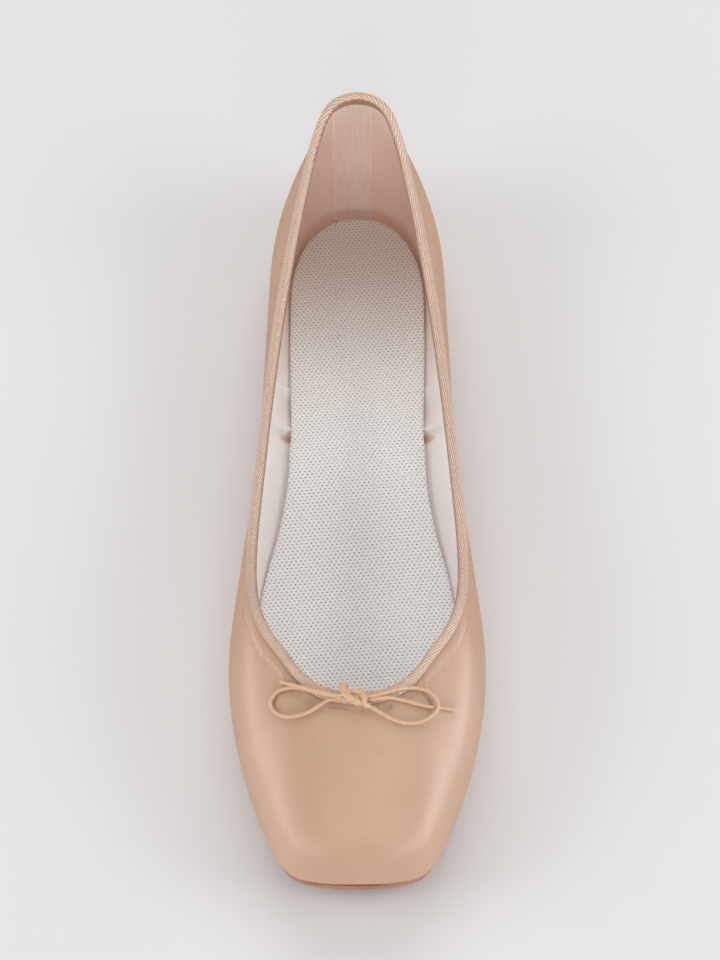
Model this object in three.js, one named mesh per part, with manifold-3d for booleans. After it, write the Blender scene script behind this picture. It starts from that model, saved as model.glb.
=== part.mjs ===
// Pointe shoe: a satin upper with a stiff toe box, a thin leather outsole, a canvas insole,
// a twill-bound collar and a drawstring tied in a bow at the throat.
// Millimetres, +Z up. The toe points to -Y and the heel to +Y, and the origin is on the floor
// under the middle of the shoe. The last is straight, so the left half mirrors the right.

import * as THREE from "three";
import { mergeVertices } from "three/addons/utils/BufferGeometryUtils.js";
import Module from "manifold-3d";

const wasm = await Module();
wasm.setup();

// Driving dimensions
const LENGTH = 239; // front of the platform to the back of the heel
const BALL_WIDTH = 74.8; // widest place, over the wings of the toe box
const INSTEP_HEIGHT = 43; // floor to the throat of the collar
const HEEL_HEIGHT = 62; // floor to the collar at the back seam
const ARCH_RISE = 4; // lift of the sole under the waist
const TOE_SPRING = 6; // lift of the sole at the tip of the toe

// Thicknesses and clearances
const SOLE_THICKNESS = 2.2;
const SOLE_CHAMFER = 0.4;
const SOLE_MARGIN = 1.8; // how far the sole reaches past the edge of the upper
const WALL = 1.5; // satin with its lining
const EDGE_WALL = 1.1; // satin and lining pressed thin under the binding
const BOX_WALL = 2.4; // satin, glued layers and lining of the toe box
const INSOLE_THICKNESS = 1.8;
const INSOLE_LIFT = 1.8; // insole above the lip that the upper turns under the foot
const TAPE_WIDTH = 12.6;
const TAPE_THICKNESS = 0.7;
const TAPE_RISE = [0.16, 0.93]; // ends of the heel tape, from 0 at the sole to 1 at the collar
const BINDING_THICKNESS = 0.55;
const BINDING_OUTSIDE = 3; // how far the binding reaches down the outside of the collar
const BINDING_INSIDE = 2.2; // how far it reaches down the inside
const BINDING_ROLL = 0.4; // where its rolled edge begins, below the edge of the upper
const GAP = 0.3; // between neighbouring pieces

// Where the sole is flat on the floor, as shares of the length from the toe
const FOREFOOT_FLAT = [0.2, 0.37];
const HEEL_FLAT = [0.74, 0.97];

// Where the wall changes its thickness
const BOX_END = [0.08, 0.2]; // the stiff toe box thins out, as shares of the length from the toe
const BOX_FOOT = [6, 14]; // heights over which the toe box thickens above its lip
const EDGE_RISE = [0.66, 0.86]; // the wall thins to its edge, from 0 at the sole to 1 at the collar

// The upper, one row for each section round it, from the middle of the toe to the middle of the heel.
// X columns are shares of half the ball width and Y columns are shares of the length from the toe.
// wideUp is a share of the instep height. collarRise is 0 at the instep height and 1 at the heel height.
// shoulder is a share of the collar's height, and fullness says how closely the wall keeps to it.
const SECTION_COLUMNS = [
  "section",
  "soleX",
  "soleY",
  "wideX",
  "wideY",
  "wideUp",
  "shoulder",
  "fullness",
  "collarX",
  "collarY",
  "collarRise",
];
const SECTION_ROWS = [
  ["toe centre", 0, 0.011, 0, 0, 0.35, 0.8, 2.4, 0, 0.185, 0],
  ["platform", 0.29, 0.013, 0.3, 0.002, 0.35, 0.79, 2.3, 0.265, 0.193, 0],
  ["platform corner", 0.505, 0.029, 0.545, 0.016, 0.34, 0.76, 1.9, 0.437, 0.215, 0],
  ["box side", 0.59, 0.086, 0.732, 0.067, 0.35, 0.76, 1.5, 0.582, 0.248, -0.02],
  ["box wing", 0.668, 0.165, 0.922, 0.159, 0.4, 0.82, 1.2, 0.713, 0.281, -0.06],
  ["ball", 0.709, 0.27, 1, 0.257, 0.46, 0.86, 1, 0.792, 0.324, -0.11],
  ["joint", 0.628, 0.374, 0.93, 0.366, 0.53, 0.88, 0.9, 0.81, 0.391, -0.18],
  ["fore waist", 0.441, 0.5, 0.824, 0.5, 0.58, 0.87, 0.9, 0.768, 0.5, -0.26],
  ["waist", 0.361, 0.617, 0.772, 0.621, 0.6, 0.85, 0.9, 0.7, 0.621, -0.28],
  ["quarter", 0.401, 0.743, 0.742, 0.751, 0.6, 0.8, 0.9, 0.6, 0.751, -0.158],
  ["heel side", 0.449, 0.851, 0.705, 0.858, 0.58, 0.7, 0.8, 0.466, 0.868, 0.237],
  ["heel corner", 0.36, 0.916, 0.565, 0.945, 0.57, 0.61, 0.65, 0.335, 0.942, 0.76],
  ["heel round", 0.2, 0.944, 0.32, 0.987, 0.56, 0.69, 0.8, 0.212, 0.977, 0.965],
  ["heel centre", 0, 0.952, 0, 1, 0.56, 0.73, 0.8, 0, 0.99, 1],
];

// The insole, one row for each station: half width as a share of half the ball width
const INSOLE_COLUMNS = ["along", "half"];
const INSOLE_ROWS = [
  [0.055, 0.12],
  [0.062, 0.3],
  [0.1, 0.5],
  [0.18, 0.68],
  [0.3, 0.79],
  [0.37, 0.77],
  [0.42, 0.71],
  [0.47, 0.625],
  [0.54, 0.556],
  [0.615, 0.548],
  [0.7, 0.564],
  [0.782, 0.571],
  [0.866, 0.55],
  [0.918, 0.42],
  [0.943, 0.26],
  [0.954, 0.08],
];

// The drawstring's routes over the vamp, as [across, along, up] points of its middle line
const CORD_DIAMETER = 1.3;
const CORD_ROUTES = {
  drawstring_loop_left: [
    [-3.8, -77.5, 45.3],
    [-8.2, -77.1, 44.6],
    [-11, -78.3, 43.3],
    [-15.4, -80.2, 42],
    [-19.9, -80.7, 40.6],
    [-23, -78.9, 39.5],
    [-24.4, -76.7, 39.4],
    [-23.6, -74.5, 40.2],
    [-20.8, -73.1, 41.9],
    [-17.1, -73.1, 43.1],
    [-12.9, -74.6, 44.6],
    [-9, -75.4, 45.1],
    [-3.8, -75.8, 46],
  ],
  drawstring_end_left: [
    [-4.8, -74.4, 46.6],
    [-9, -73.9, 46.3],
    [-12.9, -73, 45.6],
    [-17.4, -71.9, 44.3],
    [-21.4, -70.4, 42.2],
  ],
  drawstring_loop_right: [
    [3.4, -75.5, 46.4],
    [7, -75.3, 45.7],
    [10.5, -74.7, 45],
    [16.4, -73.2, 43.5],
    [21.2, -73.9, 42],
    [23.1, -76.9, 41.9],
    [20.5, -80.6, 40.6],
    [15.2, -83, 41.5],
    [10.5, -82.7, 42.2],
    [5.8, -80.2, 43.3],
    [3.4, -78.6, 44.9],
  ],
  drawstring_end_right: [
    [3.6, -77, 45.6],
    [6.3, -77, 44.7],
    [9.4, -76.9, 44.3],
    [14.4, -77.5, 42.7],
    [18.6, -77.6, 41.5],
    [22, -77.4, 40.1],
    [24.6, -77.5, 39],
    [28, -77.4, 37.1],
  ],
};

// The knot: a core, cut square where the cords meet it, with two strands over its top
const KNOT_CENTRE = [-0.2, -76.5, 46.1];
const KNOT_CORE = [4.4, 3, 2];
const KNOT_WIDTH = 6.6;
const KNOT_STRAND_DIAMETER = 2.1;
const KNOT_STRANDS = [
  [
    [-3.4, -73.5, 47],
    [-1.8, -74.5, 48],
    [0.2, -76.4, 48],
    [1.4, -78.2, 46.4],
  ],
  [
    [-1.3, -74.4, 46.8],
    [1.4, -75.4, 47.8],
    [2, -77.4, 47],
    [1.2, -78.8, 45.4],
  ],
];

// Facets and the spread of the curves
const AROUND = 96; // facets round the upper
const UNDER_STEPS = 5; // facets from the sole's edge to the widest line
const OVER_STEPS = 10; // facets from the widest line to the collar
const UNDER_SHARE = 0.3; // share of a section that lies below the widest line
const UNDER_FULLNESS = 1.3;
const SOLE_STATIONS = 56;
const INSOLE_STATIONS = 48;
const INSOLE_CHAMFER = 0.3;
const BINDING_ROLL_STEPS = 6;
const TAPE_STEPS = 10;
const TAPE_STEPS_ACROSS = 4;
const TAPE_SEARCH = [0.5, 0.38]; // turns at the heel's middle and at its side
const TAPE_SEARCH_STEPS = 30;
const CORD_STEP = 2.4; // facet length along the cord, in diameters
const CORD_SIDES = 8;
const KNOT_FACETS = [20, 12];
const SLOPE_STEP = 1e-3; // share of a turn or a rise over which a slope is taken

const named = (columns, rows) =>
  rows.map((row) => Object.fromEntries(columns.map((column, i) => [column, row[i]])));
const across = (share) => (share * BALL_WIDTH) / 2;
const along = (share) => (share - 0.5) * LENGTH;
const smooth = THREE.MathUtils.smoothstep;

// Height of the sole's underside above the floor: flat at heel and forefoot, arched between, sprung at the toe
function soleRise(y) {
  const share = y / LENGTH + 0.5;
  const [toeFlat, archStart] = FOREFOOT_FLAT;
  const archEnd = HEEL_FLAT[0];
  if (share < toeFlat) return TOE_SPRING * ((toeFlat - share) / toeFlat) ** 2;
  if (share < archStart || share > archEnd) return 0;
  const phase = (share - archStart) / (archEnd - archStart);
  return ARCH_RISE * Math.sin(Math.PI * phase) ** 2;
}

const sections = named(SECTION_COLUMNS, SECTION_ROWS);

// A closed smooth line round the shoe through one point of each section
function lineRound(pointOf) {
  const right = sections.map((section) => pointOf(section));
  const left = right
    .slice(1, -1)
    .reverse()
    .map((point) => new THREE.Vector3(-point.x, point.y, point.z));
  return new THREE.CatmullRomCurve3([...right, ...left], true, "catmullrom");
}

const upperBottom = SOLE_THICKNESS + GAP;
const collarUp = (section) =>
  INSTEP_HEIGHT + section.collarRise * (HEEL_HEIGHT - INSTEP_HEIGHT);
const soleLine = lineRound(
  ({ soleX, soleY }) => new THREE.Vector3(across(soleX), along(soleY), 0),
);
const wideLine = lineRound(
  ({ wideX, wideY, wideUp }) =>
    new THREE.Vector3(across(wideX), along(wideY), wideUp * INSTEP_HEIGHT),
);
const shoulderLine = lineRound(
  (section) =>
    new THREE.Vector3(
      across(section.wideX),
      along(section.wideY),
      section.shoulder * collarUp(section),
    ),
);
const collarLine = lineRound(
  (section) =>
    new THREE.Vector3(across(section.collarX), along(section.collarY), collarUp(section)),
);
const fullnessLine = lineRound(({ fullness }) => new THREE.Vector3(0, 0, fullness));

// Point of a conic arc that leaves start and reaches end along the lines to its corner
function conic(start, corner, end, fullness, t) {
  const a = (1 - t) ** 2;
  const b = 2 * fullness * t * (1 - t);
  const c = t ** 2;
  return new THREE.Vector3()
    .addScaledVector(start, a)
    .addScaledVector(corner, b)
    .addScaledVector(end, c)
    .divideScalar(a + b + c);
}

// The same point, lowered or raised to just above the outsole
const onSole = (point) => point.setZ(soleRise(point.y) + upperBottom);

// Outer surface of the upper: turn goes once round from the toe, rise goes from sole to collar
function upperPoint(turn, rise) {
  const at = (turn + 1) % 1;
  const wide = wideLine.getPoint(at);
  if (rise < UNDER_SHARE) {
    const lip = onSole(soleLine.getPoint(at));
    return conic(lip, onSole(wide.clone()), wide, UNDER_FULLNESS, rise / UNDER_SHARE);
  }
  const fullness = fullnessLine.getPoint(at).z;
  const t = (rise - UNDER_SHARE) / (1 - UNDER_SHARE);
  return conic(wide, shoulderLine.getPoint(at), collarLine.getPoint(at), fullness, t);
}

// Outer point with the directions round the shoe, up the wall and out of it
function upperFrame(turn, rise) {
  const point = upperPoint(turn, rise);
  const round = upperPoint(turn + SLOPE_STEP, rise).sub(upperPoint(turn - SLOPE_STEP, rise));
  const above = upperPoint(turn, Math.min(rise + SLOPE_STEP, 1));
  const up = above.sub(upperPoint(turn, Math.max(rise - SLOPE_STEP, 0))).normalize();
  const out = round.cross(up).normalize();
  return { point, up, out };
}

// Wall thickness: thicker in the toe box, thin at the lip under the foot and at the collar's edge
function wallAt(point, rise) {
  const box = 1 - smooth(point.y, ...BOX_END.map(along));
  const aboveLip = smooth(point.z, ...BOX_FOOT);
  const wall = WALL + (BOX_WALL - WALL) * box * aboveLip;
  return THREE.MathUtils.lerp(wall, EDGE_WALL, smooth(rise, ...EDGE_RISE));
}

// A point at a depth below the outer surface of the upper
function upperInside(turn, rise, depth) {
  const { point, out } = upperFrame(turn, rise);
  return point.addScaledVector(out, -depth);
}

const turns = (count) => Array.from({ length: count }, (_, i) => i / count);

// Solid skinned over closed rings, each joined to the next and the last to the first
function ringSolid(rings) {
  const count = rings[0].length;
  const index = [];
  rings.forEach((_, j) => {
    const next = (j + 1) % rings.length;
    for (let i = 0; i < count; i++) {
      const k = (i + 1) % count;
      const [a, b] = [j * count + i, j * count + k];
      const [c, d] = [next * count + k, next * count + i];
      index.push(a, b, c, a, c, d);
    }
  });
  return geometryOf(rings.flat(), index);
}

function geometryOf(points, index) {
  return new THREE.BufferGeometry().setFromPoints(points).setIndex(index);
}

// Solid lofted through equal sections, closed flat at both ends
function loftSolid(loops) {
  const count = loops[0].length;
  const index = [];
  for (let j = 0; j + 1 < loops.length; j++)
    for (let i = 0; i < count; i++) {
      const k = (i + 1) % count;
      const [a, b] = [j * count + i, j * count + k];
      index.push(a, a + count, b, b, a + count, b + count);
    }
  const last = (loops.length - 1) * count;
  for (let i = 1; i + 1 < count; i++) {
    index.push(0, i, i + 1);
    index.push(last, last + i + 1, last + i);
  }
  return geometryOf(loops.flat(), index);
}

function upper() {
  const rises = [];
  for (let i = 0; i < UNDER_STEPS; i++) rises.push((UNDER_SHARE * i) / UNDER_STEPS);
  for (let i = 0; i <= OVER_STEPS; i++)
    rises.push(UNDER_SHARE + ((1 - UNDER_SHARE) * i) / OVER_STEPS);
  const outer = rises.map((rise) => turns(AROUND).map((turn) => upperPoint(turn, rise)));
  const inner = rises.map((rise) =>
    turns(AROUND).map((turn) => upperInside(turn, rise, wallAt(upperPoint(turn, rise), rise))),
  );
  return ringSolid([...outer, ...inner.reverse()]);
}

// Flat plate with an outline that narrows to both ends, following the sole's rise
function plate(stations, lift, thickness, chamfer) {
  return loftSolid(
    stations.map(({ x, y }) => {
      const bottom = soleRise(y) + lift;
      const top = bottom + thickness;
      return [
        [x - chamfer, bottom],
        [x, bottom + chamfer],
        [x, top],
        [-x, top],
        [-x, bottom + chamfer],
        [chamfer - x, bottom],
      ].map(([side, up]) => new THREE.Vector3(side, y, up));
    }),
  );
}

// The outsole reaches past the edge of the upper by its margin, square to that edge
function outsole() {
  const stations = [];
  for (let i = 1; i < SOLE_STATIONS; i++) {
    const turn = (0.5 * i) / SOLE_STATIONS;
    const edge = soleLine.getPoint(turn);
    const ahead = soleLine.getTangent(turn);
    stations.push({
      x: edge.x + SOLE_MARGIN * ahead.y,
      y: edge.y - SOLE_MARGIN * ahead.x,
    });
  }
  return plate(stations, 0, SOLE_THICKNESS, SOLE_CHAMFER);
}

function insole() {
  const outline = new THREE.CatmullRomCurve3(
    named(INSOLE_COLUMNS, INSOLE_ROWS).map(
      (row) => new THREE.Vector3(across(row.half), along(row.along), 0),
    ),
  );
  const lift = upperBottom + WALL + GAP + INSOLE_LIFT;
  return plate(outline.getPoints(INSOLE_STATIONS), lift, INSOLE_THICKNESS, INSOLE_CHAMFER);
}

// Section of the binding as [up from the collar's edge, out from the upper's outer face]
function bindingSection() {
  const outer = GAP + BINDING_THICKNESS;
  const inner = -EDGE_WALL - outer;
  const middle = (outer + inner) / 2;
  const radius = (outer - inner) / 2;
  const thinned = BINDING_THICKNESS / 3;
  const roll = [];
  for (let i = 0; i <= BINDING_ROLL_STEPS; i++) {
    const angle = (Math.PI * i) / BINDING_ROLL_STEPS;
    roll.push([radius * Math.sin(angle) - BINDING_ROLL, middle + radius * Math.cos(angle)]);
  }
  return [
    [-BINDING_OUTSIDE, GAP],
    [-BINDING_OUTSIDE, outer - thinned],
    ...roll,
    [-BINDING_INSIDE, inner + thinned],
    [-BINDING_INSIDE, -EDGE_WALL - GAP],
    [GAP, -EDGE_WALL - GAP],
    [GAP, GAP],
  ];
}

function collarBinding() {
  const frames = turns(AROUND).map((turn) => upperFrame(turn, 1));
  const rings = bindingSection().map(([above, outside]) =>
    frames.map(({ point, up, out }) =>
      point.clone().addScaledVector(up, above).addScaledVector(out, outside),
    ),
  );
  return ringSolid(rings);
}

// Place round the heel where the upper is a given distance from its middle plane
function turnAtHeel(rise, x) {
  let [near, far] = TAPE_SEARCH;
  for (let i = 0; i < TAPE_SEARCH_STEPS; i++) {
    const middle = (near + far) / 2;
    if (upperPoint(middle, rise).x < Math.abs(x)) near = middle;
    else far = middle;
  }
  return x < 0 ? 1 - near : near;
}

// The heel tape lies on the inside of the upper, over the back seam
function heelTape() {
  const loops = [];
  for (let j = 0; j <= TAPE_STEPS; j++) {
    const rise = THREE.MathUtils.lerp(...TAPE_RISE, j / TAPE_STEPS);
    const row = [];
    for (let i = 0; i <= TAPE_STEPS_ACROSS; i++)
      row.push(turnAtHeel(rise, TAPE_WIDTH * (i / TAPE_STEPS_ACROSS - 0.5)));
    const at = (turn, depth) => upperInside(turn, rise, WALL + GAP + depth);
    loops.push([
      ...row.map((turn) => at(turn, 0)),
      ...row.reverse().map((turn) => at(turn, TAPE_THICKNESS)),
    ]);
  }
  return loftSolid(loops);
}

const points = (rows) => rows.map((row) => new THREE.Vector3(...row));

// Round cord along a smooth line through its points
function cord(route, diameter) {
  const line = new THREE.CatmullRomCurve3(points(route));
  const ring = turns(CORD_SIDES).map((turn) => {
    const angle = 2 * Math.PI * turn;
    return new THREE.Vector2(Math.cos(angle), Math.sin(angle)).multiplyScalar(diameter / 2);
  });
  return new THREE.ExtrudeGeometry(new THREE.Shape(ring), {
    extrudePath: line,
    steps: Math.ceil(line.getLength() / (CORD_STEP * diameter)),
    bevelEnabled: false,
  });
}

function solidOf(geometry) {
  const bare = geometry.clone();
  bare.deleteAttribute("normal");
  bare.deleteAttribute("uv");
  const merged = mergeVertices(bare);
  return new wasm.Manifold(
    new wasm.Mesh({
      numProp: 3,
      vertProperties: merged.attributes.position.array,
      triVerts: merged.index.array,
    }),
  );
}

function knot() {
  const core = new THREE.SphereGeometry(1, ...KNOT_FACETS).scale(...KNOT_CORE).translate(...KNOT_CENTRE);
  const sides = new THREE.BoxGeometry(KNOT_WIDTH, KNOT_WIDTH, KNOT_WIDTH).translate(...KNOT_CENTRE);
  const joined = KNOT_STRANDS.reduce(
    (solid, strand) => solid.add(solidOf(cord(strand, KNOT_STRAND_DIAMETER))),
    solidOf(core).intersect(solidOf(sides)),
  );
  const mesh = joined.getMesh();
  return new THREE.BufferGeometry()
    .setAttribute("position", new THREE.BufferAttribute(mesh.vertProperties, 3))
    .setIndex(new THREE.BufferAttribute(mesh.triVerts, 1));
}

const FINISHES = {
  satin: { color: 0xd8b096, roughness: 0.4 },
  twill: { color: 0xd9b79a, roughness: 0.5 },
  leather: { color: 0xa8714f, roughness: 0.7 },
  canvas: { color: 0xdcd6cf, roughness: 0.9 },
  cotton: { color: 0xd9c4b8, roughness: 0.9 },
  elastic: { color: 0xd9b08c, roughness: 0.6 },
};

const shoe = new THREE.Group();
function piece(name, geometry, finish) {
  const material = new THREE.MeshStandardMaterial({ metalness: 0, ...FINISHES[finish] });
  const mesh = new THREE.Mesh(geometry, material);
  mesh.name = name;
  shoe.add(mesh);
}

piece("outsole", outsole(), "leather");
piece("upper", upper(), "satin");
piece("insole", insole(), "canvas");
piece("collar_binding", collarBinding(), "twill");
piece("heel_tape", heelTape(), "cotton");
piece("drawstring_knot", knot(), "elastic");
for (const [name, route] of Object.entries(CORD_ROUTES))
  piece(name, cord(route, CORD_DIAMETER), "elastic");

export default shoe;
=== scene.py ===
"""Looks of the pointe shoe: satin upper, twill binding, canvas insole, leather outsole and drawstring bow.

Metres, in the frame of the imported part: the toe points to -Y, the heel to +Y, and the floor is at Z 0.
"""

import math

import bmesh
import bpy
import numpy as np
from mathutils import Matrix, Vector
from mathutils.bvhtree import BVHTree


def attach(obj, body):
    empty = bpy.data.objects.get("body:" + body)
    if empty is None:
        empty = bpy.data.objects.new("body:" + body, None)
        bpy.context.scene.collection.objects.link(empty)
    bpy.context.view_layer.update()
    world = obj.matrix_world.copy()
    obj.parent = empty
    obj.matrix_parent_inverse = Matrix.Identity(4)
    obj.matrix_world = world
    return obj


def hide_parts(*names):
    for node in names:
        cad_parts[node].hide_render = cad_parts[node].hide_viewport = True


MM = 0.001


def colour(red, green, blue):
    """A linear colour from the bytes that a screen shows."""
    shares = [byte / 255 for byte in (red, green, blue)]
    return tuple(s / 12.92 if s <= 0.04045 else ((s + 0.055) / 1.055) ** 2.4 for s in shares)


# Camera, floor and light
CAMERA_EYE = Vector((0.65, -355.6, 690.8)) * MM
CAMERA_AIM = Vector((0.82, 16, 0)) * MM
CAMERA_LENS = 94.6
FLOOR_SIZE = 6
FLOOR_COLOUR = colour(234, 233, 234)
FLOOR_GRAIN = 0.02
FLOOR_ROUGHNESS = 0.7
FLOOR_ROUGHNESS_RANGE = (0.65, 0.75)
WORLD_COLOUR = (1, 1, 1)
WORLD_STRENGTH = 0.37
SHOE_AIM = (0, -0.02, 0.025)
LIGHT_ROWS = [
    # name, place, aim, width, length, watts, whether it shows in gloss, whether it shows in diffuse light
    ("back_key", (0, 0.8, 0.95), SHOE_AIM, 0.9, 0.6, 5, False, True),
    ("front_fill", (0, -1.15, 0.33), SHOE_AIM, 0.9, 0.4, 4.6, False, True),
    ("side_left", (-0.8, -0.1, 0.6), SHOE_AIM, 0.6, 0.4, 2.6, False, True),
    ("side_right", (0.8, -0.1, 0.6), SHOE_AIM, 0.6, 0.4, 2.5, False, True),
    ("strip_left", (-0.85, -1.4, 0.2), (0, -1.4, 0.025), 3.1, 0.3, 17, True, False),
    ("strip_right", (0.85, -1.4, 0.17), (0, -1.4, 0.025), 3.1, 0.28, 22, True, False),
    ("front_panel", (0.1, -0.75, 1.1), SHOE_AIM, 1, 1, 5, True, False),
    ("sheen_right", (0.62, 0.1, 1.05), SHOE_AIM, 0.6, 1.4, 4, True, False),
]

# Colours of the finishes
SATIN_LIGHT = colour(204, 165, 139)
SATIN_DEEP = colour(197, 158, 131)
LINING_HIGH = colour(254, 252, 252)
# Painted shade: the side lining low on its walls near the insole
LINING_LOW_SHADE = colour(248, 238, 234)
LINING_HEEL = colour(236, 208, 192)
# Painted shade: the heel lining low in its corner near the insole
LINING_HEEL_LOW_SHADE = colour(240, 206, 188)
# Painted shade: a warm dark patch in the gap between the lining and the insole
LINING_GAP_SHADE = colour(204, 138, 106)
# Painted highlight on the twill's rib crowns and painted shade between its ribs
TWILL_LIT_CROWN = colour(254, 234, 217)
TWILL_SHADED_VALLEY = colour(200, 156, 127)
# Painted shade on the inner side of the binding's roll
TWILL_INNER_SHADE = colour(170, 124, 94)
CANVAS_LIGHT = colour(254, 252, 249)
# Painted shade in the canvas's dashes, the low places between the threads
CANVAS_DASH_SHADE = colour(150, 142, 140)
# Painted shade on the insole towards the heel, where the heel walls shade it
CANVAS_HEEL_SHADE = colour(231, 224, 217)
TAPE_LIGHT = colour(240, 218, 208)
TAPE_DEEP = colour(230, 206, 194)
TAPE_SELVEDGE = colour(242, 222, 212)
LEATHER_LIGHT = colour(184, 130, 102)
LEATHER_DEEP = colour(112, 66, 46)
CORD_LIGHT = colour(226, 188, 156)
CORD_DEEP = colour(208, 166, 132)
THREAD_COLOUR = colour(216, 180, 152)
TACK_COLOUR = colour(188, 148, 122)

# Satin: threads, slubs and clouds as noise per millimetre, and gloss that fades on steep sides
SATIN_GLOSS = 0.4
SATIN_DULL = 0.9
SATIN_SPECULAR = 0.6
SATIN_STRETCH = 0.6
SATIN_THREADS = (0.25, 5, 5)
SATIN_SLUBS = (0.06, 1.2, 1.2)
SATIN_CLOUDS = 0.05
SATIN_THREAD_SHARE = 0.35
SATIN_SLUB_SHARE = 0.25
SATIN_CLOUD_SHARE = 0.4
SATIN_SHADES = (0.35, 0.65)
SATIN_FACING = (0.45, 0.85)
SATIN_BUMP = 0.012 * MM

# Lining: heights and places in millimetres where its colours change, with painted shade low on its walls
# near the insole, and painted shade in the gap in front of its seam
LINING_SIDE_SHADE_HEIGHTS = (8, 22)
LINING_HEEL_SHADE_HEIGHTS = (5, 16)
LINING_HEEL_FROM = (48, 90)
GAP_Y = 25.6
# Place and size of the painted shade in that gap; its place in Y is shared with the relief
GAP_SHADE_Z = 6.5
GAP_SHADE_HALF_LENGTH = 2.4
GAP_SHADE_HALF_HEIGHT = 4
LINING_ROUGHNESS = 0.8
LINING_WEAVE = 3.5
LINING_WEAVE_SHARE = 0.12
LINING_CRINKLES = (0.3, 0.3, 0.12)
LINING_BUMP = 0.4 * MM

# Canvas: rows of dashes of painted shade, in millimetres, that run a little askew, with painted shade
# darkening the insole towards the heel
DASH_PITCH = 1.42
ROW_SPACING = 1.07
CANVAS_TURN = math.radians(-5)
# Where along Y the painted shade on the insole starts and is full
CANVAS_HEEL_SHADE_FROM = (50, 100)
CANVAS_ROUGHNESS = 0.9
ROW_NARROWING = 5
DASH_SHADES = (0.05, 0.65)
DASH_UNEVEN = 0.9
DASH_UNEVEN_SHADES = (0.5, 1)
CANVAS_FUZZ = 6
CANVAS_FUZZ_SHARE = 0.5
CANVAS_BUMP = 0.12 * MM

# Tape, leather, cord and thread: patterns in millimetres or as noise per millimetre, and depths of bumps
TAPE_ROUGHNESS = 0.85
TAPE_RIB_PITCH = 0.7
TAPE_RIB_SHARE = 0.08
TAPE_STREAKS = (2, 1, 0.1)
TAPE_STREAK_SHARE = 0.4
TAPE_SHADES = (0.3, 0.7)
TAPE_CRINKLES = (0.25, 0.25, 0.3)
TAPE_SELVEDGE_FROM = (5.6, 6.1)
TAPE_BUMP = 0.18 * MM
LEATHER_PORES = 1.7
LEATHER_PORE_SHARE = 0.75
LEATHER_PATCHES = 0.06
LEATHER_PATCH_SHARE = 0.25
LEATHER_SHADES = (0.34, 0.52)
LEATHER_ROUGHNESS = 0.65
LEATHER_ROUGHNESS_RANGE = (0.55, 0.8)
LEATHER_BUMP = 0.12 * MM
CORD_ROUGHNESS = 0.4
CORD_FIBRES = (1, 4, 4)
CORD_SHADES = (0.3, 0.65)
CORD_BUMP = 0.02 * MM
THREAD_ROUGHNESS = 0.45
THREAD_FUZZ = 8
THREAD_BUMP = 0.04 * MM

# Drawstring: each half leaves the knot, makes its loop, turns inside the knot and runs out to its end
CORD_DIAMETER = 1.1 * MM
LEFT_CORD_LENGTH = 85 * MM
LEFT_CORD = [
    (-2.3, -77.6, 44.3),
    (-4.1, -77.4, 44.3),
    (-5.9, -77, 44.3),
    (-7.5, -77, 44.3),
    (-9, -77.5, 43.6),
    (-11, -78.7, 43.1),
    (-13.5, -80, 42.2),
    (-16.8, -80.8, 41.3),
    (-19.9, -80.6, 40.3),
    (-22.3, -79.4, 39.5),
    (-24, -77.3, 39.2),
    (-24.3, -75.8, 39.5),
    (-23.8, -74.5, 40),
    (-22.1, -73.2, 41),
    (-19.4, -72.8, 42.1),
    (-16.1, -73.1, 43),
    (-13.2, -74.4, 44.2),
    (-9.5, -75.7, 44.9),
    (-5.9, -76.7, 45.4),
    (-2.9, -77.6, 45.4),
    (-1.1, -78.4, 45.2),
    (0.5, -78.7, 45.2),
    (1.8, -78.2, 45.3),
    (2.4, -76.9, 45.5),
    (1.9, -75.6, 45.7),
    (0.5, -75, 45.9),
    (-1, -75.3, 46.3),
    (-2.9, -76.2, 46.6),
    (-5.2, -76.9, 46.5),
    (-9.5, -75.8, 46.1),
    (-13.1, -74.5, 45.3),
    (-16.8, -72.7, 43.4),
    (-21.5, -70.6, 41.7),
]
RIGHT_CORD_LENGTH = 90 * MM
RIGHT_CORD = [
    (0.2, -76.1, 44.7),
    (2.1, -76.2, 44.7),
    (4.2, -76.2, 44.6),
    (7.1, -75.5, 44.6),
    (10.7, -74.3, 44.6),
    (15.1, -73.2, 43.2),
    (19.1, -73.5, 42.3),
    (21.7, -75.1, 41.7),
    (22.6, -77.1, 41.1),
    (22.2, -79, 40.8),
    (20.5, -80.7, 40.6),
    (17.8, -82.3, 40.8),
    (15.1, -83, 41.2),
    (12, -82.8, 41.8),
    (8.6, -81.6, 42.5),
    (5.7, -80.1, 43.2),
    (3.1, -78.9, 44),
    (1.6, -78.7, 45),
    (0.1, -78.8, 45.5),
    (-1.4, -78.4, 45.4),
    (-2.5, -77.4, 45.1),
    (-2.7, -76.1, 44.5),
    (-1.8, -75.1, 43.9),
    (-0.4, -75.1, 43.5),
    (1.1, -76, 43.5),
    (2.5, -76.9, 43.8),
    (4.1, -77.1, 44.2),
    (6, -76.8, 44.3),
    (8.9, -76.5, 44.2),
    (12.2, -76.7, 43.1),
    (15.8, -77.3, 42.2),
    (20.9, -77.8, 40.4),
    (23.2, -77.5, 39.5),
    (27.6, -77.4, 37.2),
]
KNOT_OVER_DIAMETER = 2.1 * MM
KNOT_OVER = [
    (-3.6, -73.2, 44.2),
    (-3.6, -73.4, 45.6),
    (-4, -74.6, 46.4),
    (-3.4, -76.1, 46.5),
    (-2.1, -77.6, 46.8),
    (-0.3, -78.5, 45.9),
    (0.7, -78.3, 44.7),
]
KNOT_BESIDE_DIAMETER = 1.75 * MM
KNOT_BESIDE = [
    (-2.6, -75.7, 45.5),
    (-1, -75.5, 46.3),
    (0.8, -75.7, 45.8),
    (1.9, -77.4, 46),
    (1.9, -78.7, 45.2),
    (3.1, -79, 44.1),
]
KNOT_CORE_CENTRE = Vector((-0.8, -77, 45)) * MM
KNOT_CORE_HALF = Vector((2.2, 1.3, 1.2)) * MM
KNOT_VOXEL = 0.08 * MM

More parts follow.
